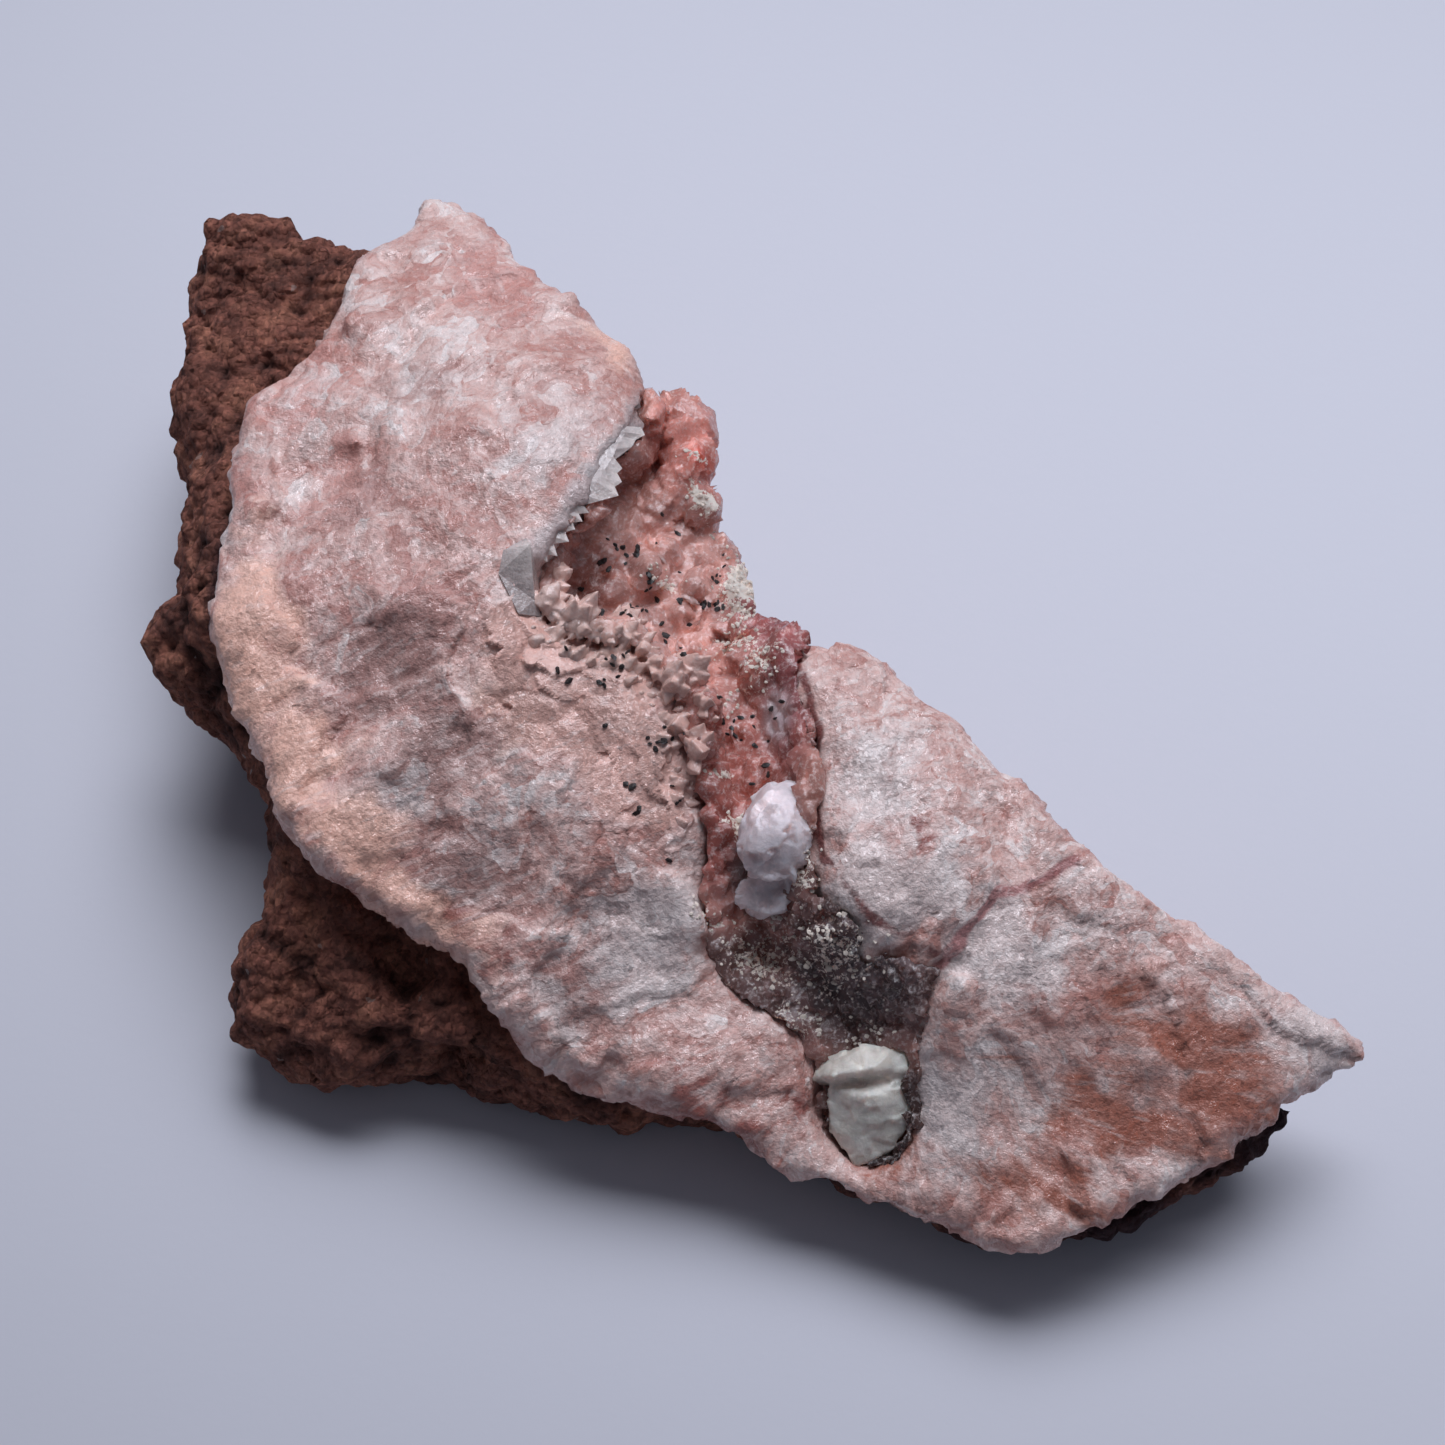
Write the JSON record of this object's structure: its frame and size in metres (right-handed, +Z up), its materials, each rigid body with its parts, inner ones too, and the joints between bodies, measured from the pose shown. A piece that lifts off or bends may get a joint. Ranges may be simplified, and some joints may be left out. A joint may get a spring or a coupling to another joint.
{
  "type": "mineral specimen",
  "caption": "Cabinet mineral specimen: pink vein calcite broken open across a quartz-lined vug, on its reddish-brown volcanic host rock, resting on the host rock's flat underside.",
  "frame": {"origin": "middle of the bounding box's underside, on the surface that the specimen rests on", "axes": "+Z up, +X along the specimen's longest horizontal extent towards the thin right-hand tip of the calcite, +Y towards the back corner of the broken face"},
  "size_m": [0.121, 0.113, 0.0409],
  "materials": {
    "host_rock": "rough granular rock",
    "pink_calcite": "satin hackly fracture",
    "vug_quartz_crust": "glossy crystal faces",
    "lip_quartz_points": "clear glossy",
    "pale_calcite_crystal": "translucent satin",
    "milky_quartz_crystal": "translucent glossy"
  },
  "bodies": {
    "root": {"host_rock": "host_rock", "pink_calcite": "pink_calcite", "vug_quartz_crust": "vug_quartz_crust", "lip_quartz_points": "lip_quartz_points", "pale_calcite_crystal": "pale_calcite_crystal", "milky_quartz_crystal": "milky_quartz_crystal"}
  },
  "joints": []
}
